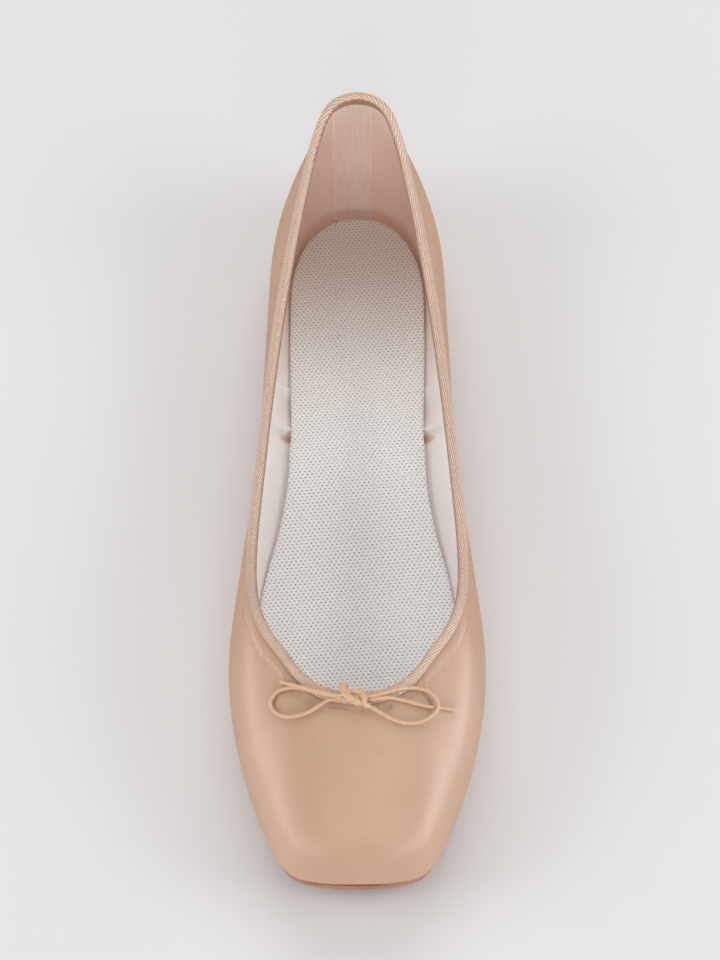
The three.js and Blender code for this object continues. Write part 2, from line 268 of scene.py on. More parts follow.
# Casing of the drawstring: a band of satin below the binding, closed by a line of stitches
CASING_AT_THROAT = 1.5 * MM
CASING_AT_SIDES = 3.3 * MM
CASING_WIDENS = (-78 * MM, -64 * MM)
CASING_FADES = (85 * MM, 105 * MM)
CASING_LIFT = 0.14 * MM
STITCH_TROUGH = 0.1 * MM
STITCH_TROUGH_WIDTH = 0.45 * MM
STITCH_LENGTH = 1.7 * MM
STITCH_PITCH = 2.6 * MM
STITCH_STEP = 0.25 * MM
THREAD_DIAMETER = 0.28 * MM
THREAD_RISE = 0.2
COLLAR_MIDDLE_Y = 20 * MM
COLLAR_HEIGHT = 40 * MM
BINDING_GAP = 0.3 * MM
GATHER_DEPTH = 0.022 * MM
GATHER_PITCH = 3.1 * MM
GATHER_REACH = 1.6 * MM
GATHER_SECOND = 1.618
GATHERS_FROM = (45 * MM, 70 * MM)
TACK_ROUTE = [(-7.7, -78.7, 42.1), (-5.2, -78.9, 42.2), (-2.3, -79.3, 42.2)]
TACK_SIZE = (0.4 * MM, 1.2 * MM, 0.6 * MM)
TACK_PITCH = 0.74 * MM

# Upper: the line along its middle that tells its outside from its inside, and where its faces are finer
MIDDLE_ENDS = (-95 * MM, 95 * MM)
MIDDLE_HEIGHT = 22 * MM
FINE_BAND = 4 * MM
FINE_BAND_TO = 100 * MM
FINE_BACK_HALF_WIDTH = 3 * MM
FINE_BACK_FROM = 90 * MM
FINE_LINING = (20 * MM, 46 * MM)
FINE_LINING_ABOVE = 6 * MM

# Satin's relief: a hollow and slits at the throat, a back seam, a heel drawn in, and a pleated, tucked toe
HOLLOW_DEPTH = 0.5 * MM
HOLLOW_Y = -85.5 * MM
HOLLOW_HALF_WIDTH = 15 * MM
HOLLOW_HALF_LENGTH = 4.5 * MM
SLIT_DEPTH = 0.5 * MM
SLIT_HALF_LENGTH = 5 * MM
SLIT_WIDTH = 0.35 * MM
SLIT_Y = -79.5 * MM
SHORT_SLIT_DEPTH = 0.6 * MM
SHORT_SLIT_HALF_LENGTH = 1.5 * MM
SHORT_SLIT_X = 9 * MM
SHORT_SLIT_Y = -77.8 * MM
SHORT_SLIT_DIRECTION = (0.92, 0.38)
THROAT_ABOVE = 30 * MM
BACK_SEAM_DEPTH = 0.3 * MM
BACK_SEAM_WIDTH = 0.7 * MM
BACK_SEAM_FROM = (95 * MM, 110 * MM)
HEEL_DRAW = 0.8 * MM
HEEL_DRAW_BELOW = 7 * MM
HEEL_DRAW_WIDTH = 4.5 * MM
HEEL_DRAW_FROM = (75 * MM, 100 * MM)
TOE_PLEAT_DEPTH = 0.35 * MM
TOE_PLEATS = 14
TOE_TURN_Y = -60 * MM
TOE_PLEATS_FROM = (70 * MM, 95 * MM)
TOE_PLEATS_UP_TO = (6 * MM, 11 * MM)
TOE_TUCK = 0.5 * MM
TOE_TUCK_FROM = (90 * MM, 108 * MM)
TOE_TUCK_UP_TO = (3 * MM, 6 * MM)

# Lining's relief: a seam, a panel behind it that ends in an edge, pleats on the panel, and gaps below
SEAM_LEAN = 0.22
SEAM_LEVEL = 14 * MM
SEAM_Y = 27.5 * MM
SEAM_HEIGHT = 1.1 * MM
SEAM_WIDTH = 0.75 * MM
PANEL_LIFT = 0.4 * MM
PANEL_STARTS = (SEAM_Y - 1 * MM, SEAM_Y + 0.8 * MM)
PANEL_END_Y = 42.6 * MM
PANEL_END_HEIGHT = 0.7 * MM
PANEL_ENDS = (PANEL_END_Y - 0.8 * MM, PANEL_END_Y + 1.2 * MM)
LINING_PLEAT_DEPTH = 0.2 * MM
LINING_PLEAT_PITCH = 1.7 * MM
LINING_PLEATS_START = (28 * MM, 30 * MM)
LINING_PLEATS_END = (38 * MM, 42 * MM)
LINING_FOOT = (9 * MM, 18 * MM)
GAP_DEPTH = 0.5 * MM
GAP_WIDTH = 2 * MM
PANEL_GAP_DEPTH = 0.8 * MM
PANEL_GAP_Y = 37 * MM
PANEL_GAP_WIDTH = 5 * MM
LINING_RELIEF_BELOW = (0.5 * MM, 3 * MM)

# Twill of the binding: leaning ribs, each a row of beads with painted highlight on its crowns and painted
# shade between, on a roll that is fuller at the heel, with painted shade where it faces into the shoe
TWILL_GLOSS = 0.26
TWILL_DULL = 0.9
TWILL_BUMP = 0.25 * MM
COLLAR_ENDS = (-60, 95)
HEEL_ROLL = 0.6 * MM
HEEL_ROLL_FROM = (92 * MM, 112 * MM)
HEEL_ROLL_SLOPES = (0, 0.8)
ON_MIDDLE = 0.05 * MM
RIB_ACROSS = 0.76
RIB_ALONG = 2
BEAD_LENGTH = 0.68
BEAD_STAGGER = 0.5
BEAD_HEIGHTS = (0.35, 1)
RIB_UNEVEN = 1.1
RIB_UNEVEN_HEIGHTS = (0.45, 1.1)
# Heights of the ribs over which the painted shade turns into painted highlight
TWILL_LIT_HEIGHTS = (0.05, 0.7)
# Painted shade: how far the roll must face into the shoe to take the inner shade
TWILL_INNER_SHADE_FACING = (0.6, 0.9)
TWILL_FACING = (0.4, 0.8)

# Cuts across both plates, insole's edge at the ball and in the toe box, and outsole's edge at the toe
INSOLE_SPREAD = 0.45 * MM
INSOLE_INTO_LINING = 0.6 * MM
INSOLE_SPREAD_TO = (20 * MM, 27 * MM)
FAN_CENTRE = -50 * MM
FAN_FULL = -68 * MM
RIM_SLOPES = (0.2, 0.8)
LONG_CROSS_EDGE = 6 * MM
LEVEL_CROSS_EDGE = 0.1 * MM
CROSS_CUTS = 12
TOE_EDGE_OUT = 0.35 * MM
TOE_EDGE_UP = 0.45 * MM
TOE_EDGE_FROM = (70 * MM, 100 * MM)
TOE_EDGE_SLOPES = (-0.2, 0.6)

# Heel tape
TAPE_LEFT = -7.9 * MM
TAPE_RIGHT = 4.7 * MM
TAPE_LENGTH = 50.4 * MM
TAPE_START = Vector((-1.6, 90, 45)) * MM
TAPE_TILT = math.radians(-30)
TAPE_BEHIND = 106 * MM
TAPE_FROM_BINDING = 0.8 * MM
TAPE_OFFSET = 0.05 * MM
TAPE_THICKNESS = 0.25 * MM

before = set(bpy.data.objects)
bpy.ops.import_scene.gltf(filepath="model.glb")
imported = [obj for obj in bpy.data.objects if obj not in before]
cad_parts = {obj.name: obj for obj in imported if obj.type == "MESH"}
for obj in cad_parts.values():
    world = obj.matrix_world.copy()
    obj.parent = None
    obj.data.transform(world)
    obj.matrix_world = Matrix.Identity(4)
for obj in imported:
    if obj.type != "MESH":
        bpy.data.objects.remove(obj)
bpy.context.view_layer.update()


# Ways of working
def work_on(piece):
    bpy.ops.object.select_all(action="DESELECT")
    piece.select_set(True)
    bpy.context.view_layer.objects.active = piece


def apply_modifier(piece, kind, **settings):
    work_on(piece)
    modifier = piece.modifiers.new(kind.lower(), kind)
    for setting, value in settings.items():
        setattr(modifier, setting, value)
    bpy.ops.object.modifier_apply(modifier=modifier.name)


def subdivide_smoothly(piece, levels):
    apply_modifier(piece, "SUBSURF", levels=levels, render_levels=levels)
    bpy.ops.object.shade_smooth()


def new_object(name, data):
    piece = bpy.data.objects.new(name, data)
    bpy.context.scene.collection.objects.link(piece)
    return piece


def select_faces(piece, wanted):
    """Goes into edit mode with just the wanted faces selected."""
    work_on(piece)
    bpy.ops.object.mode_set(mode="EDIT")
    bpy.ops.mesh.select_mode(type="FACE")
    bpy.ops.mesh.select_all(action="DESELECT")
    bpy.ops.object.mode_set(mode="OBJECT")
    for face in piece.data.polygons:
        face.select = bool(wanted(face))
    bpy.ops.object.mode_set(mode="EDIT")


def select_edges(piece, wanted):
    """Goes into edit mode with just the wanted edges selected."""
    work_on(piece)
    bpy.ops.object.mode_set(mode="EDIT")
    bpy.ops.mesh.select_mode(type="EDGE")
    bpy.ops.mesh.select_all(action="DESELECT")
    bpy.ops.object.mode_set(mode="OBJECT")
    places = piece.data.vertices
    for edge in piece.data.edges:
        edge.select = bool(wanted(places[edge.vertices[0]].co, places[edge.vertices[1]].co))
    bpy.ops.object.mode_set(mode="EDIT")


def merged_copy(node, name):
    """A copy of a CAD node with its loose triangles merged."""
    piece = new_object(name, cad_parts[node].data.copy())
    piece.data.materials.clear()
    work_on(piece)
    bpy.ops.mesh.customdata_custom_splitnormals_clear()
    bpy.ops.object.mode_set(mode="EDIT")
    bpy.ops.mesh.select_all(action="SELECT")
    bpy.ops.mesh.remove_doubles(threshold=0.001 * MM)
    bpy.ops.object.mode_set(mode="OBJECT")
    return piece


def quad_copy(node, name):
    """A merged copy with its triangles paired into quads."""
    piece = merged_copy(node, name)
    bpy.ops.object.mode_set(mode="EDIT")
    bpy.ops.mesh.select_all(action="SELECT")
    bpy.ops.mesh.tris_convert_to_quads(face_threshold=1.4, shape_threshold=1.4, topology_influence=2)
    bpy.ops.object.mode_set(mode="OBJECT")
    return piece


def ring_grid(piece):
    """The grid of quads of a copy whose node is skinned over rings, and the edges that run along the rings.

    Round each of its triangles, a ring edge is followed by a cross edge, and that by a diagonal.
    """
    grid = bmesh.new()
    grid.from_mesh(piece.data)
    heel = max(grid.faces, key=lambda face: face.calc_center_median().y)
    following = {"ring": "cross", "cross": "diagonal", "diagonal": "ring"}
    kinds = {}
    seen = set()
    waiting = [(max(heel.loops, key=lambda loop: loop.edge.calc_length()), "diagonal")]
    while waiting:
        loop, kind = waiting.pop()
        if loop.face in seen:
            continue
        seen.add(loop.face)
        for _ in range(3):
            kinds[loop.edge] = kind
            waiting.append((loop.link_loop_radial_next, kind))
            loop = loop.link_loop_next
            kind = following[kind]
    rings = {edge for edge, kind in kinds.items() if kind == "ring"}
    diagonals = [edge for edge, kind in kinds.items() if kind == "diagonal"]
    bmesh.ops.dissolve_edges(grid, edges=diagonals, use_verts=False)
    return grid, rings


def round_from(start, edges):
    """The vertices met going once round a closed line of edges."""
    line = [start]
    edge = next(e for e in start.link_edges if e in edges)
    while True:
        vertex = edge.other_vert(line[-1])
        if vertex is start:
            return line
        line.append(vertex)
        edge = next(e for e in vertex.link_edges if e in edges and e is not edge)


def lengths_along(line):
    """How far along a closed line each vertex is, with the whole length last."""
    found = [0]
    for i, vertex in enumerate(line):
        found.append(found[-1] + (line[(i + 1) % len(line)].co - vertex.co).length)
    return found


def surface_of(piece):
    """The faces of a mesh, to be searched for the nearest place."""
    places = [vertex.co for vertex in piece.data.vertices]
    return BVHTree.FromPolygons(places, [tuple(face.vertices) for face in piece.data.polygons])


def smooth_step(value, low, high):
    share = np.clip((value - low) / (high - low), 0, 1)
    return share * share * (3 - 2 * share)


def hump(value, centre, width):
    return np.exp(-(((value - centre) / width) ** 2))


def finish_piece(piece, slot, *nodes):
    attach(piece, "root")
    if nodes:
        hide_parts(*nodes)


def smooth_curve(name, places, closed=False):
    data = bpy.data.curves.new(name, "CURVE")
    data.dimensions = "3D"
    data.resolution_u = 8
    spline = data.splines.new("BEZIER")
    spline.bezier_points.add(len(places) - 1)
    for point, place in zip(spline.bezier_points, places):
        point.co = place
        point.handle_left_type = "AUTO"
        point.handle_right_type = "AUTO"
    spline.use_cyclic_u = closed
    return new_object(name, data)


def cord_along(name, route, diameter):
    """A round cord along a smooth line through places given in millimetres."""
    piece = smooth_curve(name, [Vector(place) * MM for place in route])
    piece.data.bevel_depth = diameter / 2
    piece.data.bevel_resolution = 4
    piece.data.use_fill_caps = True
    return piece


# Shader nodes
def new_material(name, base, roughness, **sockets):
    made = bpy.data.materials.new(name)
    made.use_nodes = True
    shader = made.node_tree.nodes["Principled BSDF"]
    shader.inputs["Base Color"].default_value = (*base, 1)
    shader.inputs["Roughness"].default_value = roughness
    for socket, value in sockets.items():
        shader.inputs[socket.replace("_", " ")].default_value = value
    return made, made.node_tree, shader


def add(tree, kind, inputs, **settings):
    """A node with its settings, and its inputs set to values or linked to other nodes."""
    made = tree.nodes.new("ShaderNode" + kind)
    for setting, value in settings.items():
        setattr(made, setting, value)
    for socket, value in inputs.items():
        if isinstance(value, bpy.types.NodeSocket):
            tree.links.new(value, made.inputs[socket])
        else:
            made.inputs[socket].default_value = value
    return made


def calc(tree, operation, *values):
    return add(tree, "Math", dict(enumerate(values)), operation=operation).outputs[0]


def position(tree, scale=(1, 1, 1), turn=0):
    """Object coordinates in millimetres, turned about Z and scaled."""
    place = add(tree, "TexCoord", {}).outputs["Object"]
    inputs = {"Vector": place, "Scale": [share / MM for share in scale], "Rotation": (0, 0, turn)}
    return add(tree, "Mapping", inputs).outputs[0]


def axes(tree, vector):
    return add(tree, "SeparateXYZ", {"Vector": vector}).outputs


def noise(tree, vector, scale, detail=2, roughness=0.5):
    inputs = {"Vector": vector, "Scale": scale, "Detail": detail, "Roughness": roughness}
    return add(tree, "TexNoise", inputs).outputs["Fac"]


def remap(tree, value, low, high, to_low=0, to_high=1):
    inputs = {"Value": value, "From Min": low, "From Max": high, "To Min": to_low, "To Max": to_high}
    return add(tree, "MapRange", inputs).outputs["Result"]


def blend(tree, share, first, second):
    """A colour between two colours or sockets."""
    made = add(tree, "Mix", {}, data_type="RGBA")
    tree.links.new(share, made.inputs[0])
    for socket, value in ((made.inputs[6], first), (made.inputs[7], second)):
        if isinstance(value, bpy.types.NodeSocket):
            tree.links.new(value, socket)
        else:
            socket.default_value = (*value, 1)
    return made.outputs[2]


def weighed(tree, *rows):
    """The sum of values, each times its share."""
    parts = [value if share == 1 else calc(tree, "MULTIPLY", value, share) for value, share in rows]
    total = parts[0]
    for part in parts[1:]:
        total = calc(tree, "ADD", total, part)
    return total


def wave(tree, value, pitch):
    """A wave between -1 and 1 that repeats each pitch."""
    return calc(tree, "SINE", calc(tree, "MULTIPLY", value, 2 * math.pi / pitch))


def bump(tree, shader, height, depth):
    made = add(tree, "Bump", {"Height": height, "Distance": depth, "Strength": 1})
    tree.links.new(made.outputs["Normal"], shader.inputs["Normal"])


def dull_sides(tree, shader, turns, gloss, dull):
    """Roughness that rises from gloss to dull as the surface turns away."""
    facing = add(tree, "LayerWeight", {"Blend": 0.5}).outputs["Facing"]
    tree.links.new(remap(tree, facing, *turns, gloss, dull), shader.inputs["Roughness"])


def satin():
    """Floats that run across the shoe draw its gloss out lengthwise, and steep sides look dull."""
    gloss = {"Specular_IOR_Level": SATIN_SPECULAR, "Anisotropic": SATIN_STRETCH}
    made, tree, shader = new_material("satin", SATIN_LIGHT, SATIN_GLOSS, **gloss)
    threads = noise(tree, position(tree, SATIN_THREADS), 1)
    slubs = noise(tree, position(tree, SATIN_SLUBS), 1)
    clouds = noise(tree, position(tree), SATIN_CLOUDS)
    weave = weighed(tree, (threads, SATIN_THREAD_SHARE), (slubs, SATIN_SLUB_SHARE))
    shade = weighed(tree, (weave, 1), (clouds, SATIN_CLOUD_SHARE))
    base = blend(tree, remap(tree, shade, *SATIN_SHADES), SATIN_DEEP, SATIN_LIGHT)
    tree.links.new(base, shader.inputs["Base Color"])
    dull_sides(tree, shader, SATIN_FACING, SATIN_GLOSS, SATIN_DULL)
    lengthwise = add(tree, "Tangent", {}, direction_type="RADIAL", axis="X").outputs[0]
    tree.links.new(lengthwise, shader.inputs["Tangent"])
    bump(tree, shader, weave, SATIN_BUMP)
    return made


def lining():
    """White cotton at the sides, warmer in the heel, with painted shade low on the walls near the insole and
    a warm painted shade in the gap in front of its seam.
    """
    made, tree, shader = new_material("lining", LINING_HIGH, LINING_ROUGHNESS)
    _, y, z = axes(tree, position(tree))
    # Painted shade darkens the side walls and the heel's corner towards the insole
    side = blend(tree, remap(tree, z, *LINING_SIDE_SHADE_HEIGHTS), LINING_LOW_SHADE, LINING_HIGH)
    heel = blend(tree, remap(tree, z, *LINING_HEEL_SHADE_HEIGHTS), LINING_HEEL_LOW_SHADE, LINING_HEEL)
    base = blend(tree, remap(tree, y, *LINING_HEEL_FROM), side, heel)
    # Painted shade in the gap between the lining and the insole, in front of the seam
    across = calc(tree, "DIVIDE", calc(tree, "SUBTRACT", y, GAP_Y), GAP_SHADE_HALF_LENGTH)
    rise = calc(tree, "DIVIDE", calc(tree, "SUBTRACT", z, GAP_SHADE_Z), GAP_SHADE_HALF_HEIGHT)
    away = calc(tree, "ADD", calc(tree, "MULTIPLY", across, across), calc(tree, "MULTIPLY", rise, rise))
    base = blend(tree, remap(tree, away, 1, 0), base, LINING_GAP_SHADE)
    tree.links.new(base, shader.inputs["Base Color"])
    weave = noise(tree, position(tree), LINING_WEAVE, detail=3)
    crinkles = noise(tree, position(tree, LINING_CRINKLES), 1, detail=3)
    height = weighed(tree, (weave, LINING_WEAVE_SHARE), (crinkles, 1))
    bump(tree, shader, height, LINING_BUMP)
    return made


def twill():
    """Ribs broken into beads along the strip's own map, with painted highlight on the crowns and painted
    shade between the ribs, and painted shade where the roll faces into the shoe.
    """
    made, tree, shader = new_material("twill", TWILL_LIT_CROWN, TWILL_GLOSS, Specular_IOR_Level=1)
    along, across, _ = axes(tree, add(tree, "UVMap", {}, uv_map="strip").outputs[0])
    rank = calc(tree, "MULTIPLY", across, 1 / RIB_ACROSS)
    ribs = wave(tree, calc(tree, "ADD", rank, calc(tree, "MULTIPLY", along, 1 / RIB_ALONG)), 1)
    stagger = calc(tree, "MULTIPLY", rank, BEAD_STAGGER)
    beads = wave(tree, calc(tree, "ADD", calc(tree, "MULTIPLY", along, 1 / BEAD_LENGTH), stagger), 1)
    height = calc(tree, "MULTIPLY", remap(tree, ribs, -1, 1), remap(tree, beads, -1, 1, *BEAD_HEIGHTS))
    uneven = remap(tree, noise(tree, position(tree), RIB_UNEVEN), 0.3, 0.7, *RIB_UNEVEN_HEIGHTS)
    height = calc(tree, "MULTIPLY", height, uneven)
    # Painted highlight on the crowns and painted shade between the ribs, by their height
    base = blend(tree, remap(tree, height, *TWILL_LIT_HEIGHTS), TWILL_SHADED_VALLEY, TWILL_LIT_CROWN)
    # Painted shade where the roll faces into the shoe
    x, y, _ = axes(tree, position(tree))
    middle = add(tree, "Clamp", {"Value": y, "Min": COLLAR_ENDS[0], "Max": COLLAR_ENDS[1]}).outputs[0]
    to_middle = {"X": calc(tree, "MULTIPLY", x, -1), "Y": calc(tree, "SUBTRACT", middle, y)}
    inward = add(tree, "CombineXYZ", to_middle).outputs[0]
    inward = add(tree, "VectorMath", {0: inward}, operation="NORMALIZE").outputs[0]
    normal = add(tree, "NewGeometry", {}).outputs["Normal"]
    turned = add(tree, "VectorMath", {0: inward, 1: normal}, operation="DOT_PRODUCT").outputs["Value"]
    base = blend(tree, remap(tree, turned, *TWILL_INNER_SHADE_FACING), base, TWILL_INNER_SHADE)
    tree.links.new(base, shader.inputs["Base Color"])
    dull_sides(tree, shader, TWILL_FACING, TWILL_GLOSS, TWILL_DULL)
    bump(tree, shader, height, TWILL_BUMP)
    return made


def canvas():
    """Dashes in staggered rows: the sign of a row's wave moves its dashes half a pitch along."""
    made, tree, shader = new_material("canvas", CANVAS_LIGHT, CANVAS_ROUGHNESS)
    x, y, _ = axes(tree, position(tree, turn=CANVAS_TURN))
    columns = calc(tree, "COSINE", calc(tree, "MULTIPLY", x, 2 * math.pi / DASH_PITCH))
    squarer = calc(tree, "SQRT", calc(tree, "ABSOLUTE", columns))
    columns = calc(tree, "MULTIPLY", calc(tree, "SIGN", columns), squarer)
    rows = calc(tree, "COSINE", calc(tree, "MULTIPLY", y, math.pi / ROW_SPACING))
    narrow = calc(tree, "POWER", calc(tree, "ABSOLUTE", rows), ROW_NARROWING)
    dashes = calc(tree, "MULTIPLY", calc(tree, "MULTIPLY", columns, rows), narrow)
    uneven = noise(tree, position(tree), DASH_UNEVEN, detail=3)
    depth = remap(tree, uneven, 0.25, 0.7, *DASH_UNEVEN_SHADES)
    # Painted shade in the dashes, where the weave dips
    dash_shade = calc(tree, "MULTIPLY", remap(tree, dashes, *DASH_SHADES), depth)
    # Painted shade on the insole towards the heel
    ground = blend(tree, remap(tree, y, *CANVAS_HEEL_SHADE_FROM), CANVAS_LIGHT, CANVAS_HEEL_SHADE)
    base = blend(tree, dash_shade, ground, CANVAS_DASH_SHADE)
    tree.links.new(base, shader.inputs["Base Color"])
    fuzz = calc(tree, "MULTIPLY", noise(tree, position(tree), CANVAS_FUZZ), CANVAS_FUZZ_SHARE)
    bump(tree, shader, calc(tree, "SUBTRACT", fuzz, dashes), CANVAS_BUMP)
    return made


def cotton_tape():
    """Fine lengthwise ribs and streaks between paler selvedges."""
    made, tree, shader = new_material("cotton_tape", TAPE_LIGHT, TAPE_ROUGHNESS)
    x, _, _ = axes(tree, position(tree))
    ribs = wave(tree, x, TAPE_RIB_PITCH)
    streaks = noise(tree, position(tree, TAPE_STREAKS), 1, detail=3)
    crinkles = noise(tree, position(tree, TAPE_CRINKLES), 1)
    height = weighed(tree, (ribs, TAPE_RIB_SHARE), (streaks, TAPE_STREAK_SHARE), (crinkles, 1))
    base = blend(tree, remap(tree, streaks, *TAPE_SHADES), TAPE_DEEP, TAPE_LIGHT)
    off_middle = calc(tree, "ABSOLUTE", calc(tree, "SUBTRACT", x, TAPE_START.x / MM))
    base = blend(tree, remap(tree, off_middle, *TAPE_SELVEDGE_FROM), base, TAPE_SELVEDGE)
    tree.links.new(base, shader.inputs["Base Color"])
    bump(tree, shader, height, TAPE_BUMP)
    return made


def leather():
    """Buffed leather, mottled by its pores and by broad patches."""
    made, tree, shader = new_material("outsole_leather", LEATHER_LIGHT, LEATHER_ROUGHNESS)
    pores = noise(tree, position(tree), LEATHER_PORES, detail=4, roughness=0.65)
    patches = noise(tree, position(tree), LEATHER_PATCHES, detail=4)
    mottle = weighed(tree, (pores, LEATHER_PORE_SHARE), (patches, LEATHER_PATCH_SHARE))
    base = blend(tree, remap(tree, mottle, *LEATHER_SHADES), LEATHER_DEEP, LEATHER_LIGHT)
    tree.links.new(base, shader.inputs["Base Color"])
    tree.links.new(remap(tree, pores, 0.3, 0.7, *LEATHER_ROUGHNESS_RANGE), shader.inputs["Roughness"])
    bump(tree, shader, pores, LEATHER_BUMP)
    return made


def elastic():
    made, tree, shader = new_material("drawstring", CORD_LIGHT, CORD_ROUGHNESS)
    fibres = noise(tree, position(tree, CORD_FIBRES), 1)
    base = blend(tree, remap(tree, fibres, *CORD_SHADES), CORD_DEEP, CORD_LIGHT)
    tree.links.new(base, shader.inputs["Base Color"])
    bump(tree, shader, fibres, CORD_BUMP)
    return made


def thread(name, shade):
    made, tree, shader = new_material(name, shade, THREAD_ROUGHNESS)
    bump(tree, shader, noise(tree, position(tree), THREAD_FUZZ), THREAD_BUMP)
    return made


def floor_paint():
    made, tree, shader = new_material("floor", FLOOR_COLOUR, FLOOR_ROUGHNESS)
    grain = noise(tree, position(tree), FLOOR_GRAIN)
    tree.links.new(remap(tree, grain, 0, 1, *FLOOR_ROUGHNESS_RANGE), shader.inputs["Roughness"])
    return made


# Stage
def make_stage():
    camera = new_object("camera", bpy.data.cameras.new("camera"))
    camera.data.lens = CAMERA_LENS
    camera.data.clip_start = 0.01
    camera.location = CAMERA_EYE
    camera.rotation_euler = (CAMERA_AIM - CAMERA_EYE).to_track_quat("-Z", "Y").to_euler()
    bpy.context.scene.camera = camera
    for name, place, aim, width, length, watts, in_gloss, in_diffuse in LIGHT_ROWS:
        light = bpy.data.lights.new(name, "AREA")
        light.shape = "RECTANGLE"
        light.size = width
        light.size_y = length
        light.energy = watts
        lamp = new_object(name, light)
        lamp.location = place
        lamp.visible_glossy = in_gloss
        lamp.visible_diffuse = in_diffuse
        lamp.rotation_euler = (Vector(aim) - Vector(place)).to_track_quat("-Z", "Y").to_euler()
    world = bpy.data.worlds.new("studio")
    world.use_nodes = True
    background = world.node_tree.nodes["Background"]
    background.inputs["Color"].default_value = (*WORLD_COLOUR, 1)
    background.inputs["Strength"].default_value = WORLD_STRENGTH
    bpy.context.scene.world = world
    bpy.context.scene.view_settings.view_transform = "Standard"
    bpy.ops.object.select_all(action="DESELECT")
    bpy.ops.mesh.primitive_plane_add(size=FLOOR_SIZE)
    floor = bpy.context.object
    floor.name = "floor"
    floor.data.materials.append(floor_paint())


# Drawstring bow
def make_knot(finish):
    strands = [
        cord_along("over", KNOT_OVER, KNOT_OVER_DIAMETER),
        cord_along("beside", KNOT_BESIDE, KNOT_BESIDE_DIAMETER),
    ]
    for strand in strands:
        work_on(strand)
        bpy.ops.object.convert(target="MESH")
    bpy.ops.object.select_all(action="DESELECT")
    bpy.ops.mesh.primitive_uv_sphere_add(segments=24, ring_count=12, radius=1, location=KNOT_CORE_CENTRE)
    knot = bpy.context.object
    knot.name = "tied_knot"
    knot.scale = KNOT_CORE_HALF
    bpy.ops.object.transform_apply(location=True, rotation=True, scale=True)
    for strand in strands:
        strand.select_set(True)
    bpy.ops.object.join()
    apply_modifier(knot, "REMESH", mode="VOXEL", voxel_size=KNOT_VOXEL)
    apply_modifier(knot, "SMOOTH", factor=0.5, iterations=3)
    bpy.ops.object.shade_smooth()
    knot.data.materials.clear()
    knot.data.materials.append(finish)
    finish_piece(knot, "drawstring", "drawstring_knot")
    return knot


def make_bow():
    finish = elastic()
    knot = make_knot(finish)
    halves = (
        ("drawstring_left", LEFT_CORD, LEFT_CORD_LENGTH, "drawstring_loop_left", "drawstring_end_left"),
        ("drawstring_right", RIGHT_CORD, RIGHT_CORD_LENGTH, "drawstring_loop_right", "drawstring_end_right"),
    )
    for name, route, length, *nodes in halves:
        half = cord_along(name, route, CORD_DIAMETER)
        half.data.materials.append(finish)
        finish_piece(half, "drawstring", *nodes)


# Upper
def looks_out(places, normals):
    """Whether places are on the outside of the upper, judged from a line along the middle of the shoe."""
    middle = np.zeros_like(places)
    middle[:, 1] = np.clip(places[:, 1], *MIDDLE_ENDS)
    middle[:, 2] = MIDDLE_HEIGHT
    return ((places - middle) * normals).sum(axis=1) > 0


def vertex_arrays(piece):
    count = len(piece.data.vertices)
    places = np.empty(count * 3)
    piece.data.vertices.foreach_get("co", places)
    normals = np.empty(count * 3)
    piece.data.vertices.foreach_get("normal", normals)
    return places.reshape(-1, 3), normals.reshape(-1, 3)


def place_vertices(piece, places):
    piece.data.vertices.foreach_set("co", places.ravel())
    piece.data.update()


def casing_width(y):
    return CASING_AT_THROAT + (CASING_AT_SIDES - CASING_AT_THROAT) * smooth_step(y, *CASING_WIDENS)


def casing_relief(places, below):
    """A soft tube below the binding and the trough that its stitches pull in the satin."""
    width = casing_width(places[:, 1])
    share = np.clip((below - BINDING_GAP) / width, 0, 1)
    tube = CASING_LIFT * np.sin(math.pi * share)
    trough = STITCH_TROUGH * hump(below, BINDING_GAP + width, STITCH_TROUGH_WIDTH)
    along = places[:, 0] * 2 * math.pi / GATHER_PITCH
    gathers = np.sin(along) + np.sin(along * GATHER_SECOND + 1)
    gathers *= smooth_step(-places[:, 1], *GATHERS_FROM)
    beyond = hump(below, BINDING_GAP + width, GATHER_REACH)
    shown = 1 - smooth_step(places[:, 1], *CASING_FADES)
    return (tube - trough + GATHER_DEPTH * gathers * beyond) * shown


def throat_relief(x, y):
    """Depths of the hollow below the bow, and of the long and the short slit beside the knot."""
    hollow = HOLLOW_DEPTH * hump(x, 0, HOLLOW_HALF_WIDTH) * hump(y, HOLLOW_Y, HOLLOW_HALF_LENGTH)
    long_slit = SLIT_DEPTH * hump(x, 0, SLIT_HALF_LENGTH) * hump(y, SLIT_Y, SLIT_WIDTH)
    ahead, aside = SHORT_SLIT_DIRECTION
    right = x - SHORT_SLIT_X
    back = y - SHORT_SLIT_Y
    along_slit = hump(right * ahead + back * aside, 0, SHORT_SLIT_HALF_LENGTH)
    short_slit = SHORT_SLIT_DEPTH * along_slit * hump(back * ahead - right * aside, 0, SLIT_WIDTH)
    return hollow, long_slit + short_slit


def outside_relief(places, below):
    x, y, z = places.T
    hollow, slits = throat_relief(x, y)
    slits = slits * (z > THROAT_ABOVE)
    back_seam = BACK_SEAM_DEPTH * hump(x, 0, BACK_SEAM_WIDTH) * smooth_step(y, *BACK_SEAM_FROM)
    heel = HEEL_DRAW * hump(below, HEEL_DRAW_BELOW, HEEL_DRAW_WIDTH) * smooth_step(y, *HEEL_DRAW_FROM)
    turn = np.arctan2(x, TOE_TURN_Y - y)
    under_toe = smooth_step(-y, *TOE_PLEATS_FROM) * (1 - smooth_step(z, *TOE_PLEATS_UP_TO))
    pleats = TOE_PLEAT_DEPTH * np.abs(np.sin(turn * TOE_PLEATS)) * under_toe
    tuck = TOE_TUCK * smooth_step(-y, *TOE_TUCK_FROM) * (1 - smooth_step(z, *TOE_TUCK_UP_TO))
    return casing_relief(places, below) - hollow - slits - back_seam - heel - pleats - tuck


